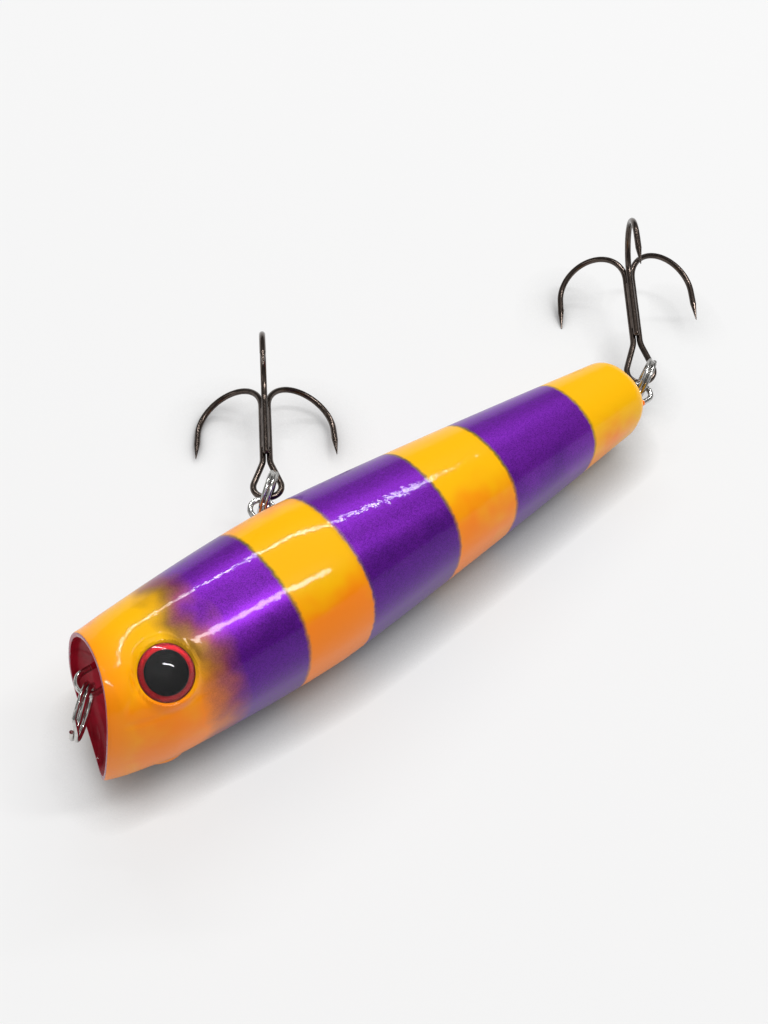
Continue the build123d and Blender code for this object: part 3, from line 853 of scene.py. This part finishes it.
class OBJECT_OT_popper_stage(bpy.types.Operator):
    """Set up the floor, the lights and the camera"""
    bl_idname = "object.popper_stage"
    bl_label = "Floor, lights and camera"

    def execute(self, context):
        scene, stage = context.scene, context.scene.popper_stage
        mouth = lure_matrix(scene.popper_body.length).translation
        self.floor(stage)
        self.light("Strip", (0.35, 0.46, 0.69), mouth, (0.86, 0.022), 3.5)
        self.light("Bar", (0.285, -0.23, 0.83), mouth, (0.42, 0.075), 3.8)
        self.light("Top", (0.05, -0.05, 1.1), mouth, (1.2, 1.2), 0.8)
        self.light("Window", (-0.75, 0.35, 0.45), mouth, (0.3, 0.3), 0.5)
        self.studio(scene, stage)
        self.camera(scene, stage, mouth)
        scene.view_settings.view_transform = "Standard"
        return {"FINISHED"}

    def floor(self, stage):
        """A pale floor that glows a little, with a painted contact shadow: its glow is dimmed where something stands
        on it.
        """
        deselect()
        bpy.ops.mesh.primitive_plane_add(size=8)
        floor = named("floor")
        edit()
        bpy.ops.mesh.subdivide(number_cuts=3)
        bpy.ops.object.mode_set(mode="OBJECT")
        paper = Finish("floor_paper", Roughness=0.9, Specular_IOR_Level=0.2, Emission_Strength=stage.floor_glow,
                       Emission_Color=(1, 1, 1, 1))
        cloud = paper.noise(paper.coordinates, 3.0, 3)
        # Painted contact shadow: the floor's glow is dimmed by ambient occlusion near the pieces
        glow_outside_painted_shadow = paper.node("ShaderNodeAmbientOcclusion", {"Distance": stage.touch}, samples=8).outputs["AO"]
        pale = tuple(stage.floor_colour)
        paper.into(paper.shader, {"Emission Color": paper.sum("MULTIPLY", glow_outside_painted_shadow, glow_outside_painted_shadow),
                                  "Base Color": paper.mix(cloud, pale, shade(pale, 0.985))})
        floor.data.materials.append(paper.material)

    def studio(self, scene, stage):
        """Surrounding light: pale at the horizon, dim above it and brighter overhead."""
        scene.world = bpy.data.worlds.new("studio")
        scene.world.use_nodes = True
        tree = scene.world.node_tree
        sky, split, ramp = (tree.nodes.new("ShaderNode" + kind) for kind in ("TexCoord", "SeparateXYZ", "ValToRGB"))
        tree.links.new(sky.outputs["Generated"], split.inputs[0])
        tree.links.new(split.outputs[2], ramp.inputs[0])
        tree.links.new(ramp.outputs[0], tree.nodes["Background"].inputs[0])
        points = ramp.color_ramp.elements
        for index, (place, level) in enumerate(((0.1, 1.0), (0.2, 0.16), (0.55, 0.26), (0.95, 0.52))):
            point = points[index] if index < 2 else points.new(place)
            point.position, point.color = place, (level, level, level, 1)
        tree.nodes["Background"].inputs[1].default_value = stage.sky

    def camera(self, scene, stage, mouth):
        """A camera that looks down at the lure from in front of its mouth."""
        yaw, pitch = radians(stage.camera_yaw), radians(stage.camera_pitch)
        ahead = Vector((cos(pitch) * cos(yaw), cos(pitch) * sin(yaw), -sin(pitch)))
        right = Vector((sin(yaw), -cos(yaw), 0))
        turn = Matrix((right, right.cross(ahead), -ahead)).transposed().to_4x4()
        camera = bpy.data.objects.new("camera", bpy.data.cameras.new("camera"))
        scene.collection.objects.link(camera)
        place = Vector((mouth.x, mouth.y, 0)) + Vector(stage.camera_place)
        camera.matrix_world = Matrix.Translation(place) @ turn
        camera.data.lens = stage.camera_lens
        camera.data.shift_x, camera.data.shift_y = stage.camera_shift
        camera.data.clip_start = 0.01
        scene.camera = camera

    def light(self, name, place, target, size, power):
        """A softbox that faces a target."""
        data = bpy.data.lights.new(name, "AREA")
        data.shape, data.size, data.size_y, data.energy = "RECTANGLE", size[0], size[1], power
        lamp = bpy.data.objects.new(name, data)
        bpy.context.scene.collection.objects.link(lamp)
        lamp.location = place
        ahead = (Vector(target) - Vector(place)).normalized()
        level = Vector((0.8, -0.6, 0))
        level = (level - ahead * level.dot(ahead)).normalized()
        lamp.rotation_euler = Matrix((level, level.cross(ahead), -ahead)).transposed().to_euler()


class VIEW3D_PT_popper(bpy.types.Panel):
    """Lists the popper's pieces and sizes"""
    bl_label = "Topwater popper"
    bl_space_type = "VIEW_3D"
    bl_region_type = "UI"
    bl_category = "Popper"

    def draw(self, context):
        for operator in OPERATORS:
            self.layout.operator(operator.bl_idname)
        for name in GROUPS:
            group = getattr(context.scene, name)
            box = self.layout.box()
            for key in group.__annotations__:
                box.prop(group, key)


OPERATORS = (OBJECT_OT_popper_body, OBJECT_OT_popper_eyes, OBJECT_OT_popper_metal, OBJECT_OT_popper_stage)
GROUPS = {"popper_body": PopperBody, "popper_look": PopperLook, "popper_stage": PopperStage}
CLASSES = (*GROUPS.values(), *OPERATORS, VIEW3D_PT_popper)


def register():
    """Register the classes and the scene's sizes."""
    for item in CLASSES:
        bpy.utils.register_class(item)
    for name, group in GROUPS.items():
        setattr(bpy.types.Scene, name, PointerProperty(type=group))


def unregister():
    """Undo register."""
    for name in GROUPS:
        delattr(bpy.types.Scene, name)
    for item in reversed(CLASSES):
        bpy.utils.unregister_class(item)


def main():
    """Make every piece."""
    register()
    bpy.ops.object.popper_body()
    bpy.ops.object.popper_eyes()
    bpy.ops.object.popper_metal()
    bpy.ops.object.popper_stage()
    deselect()


if __name__ == "__main__":
    main()
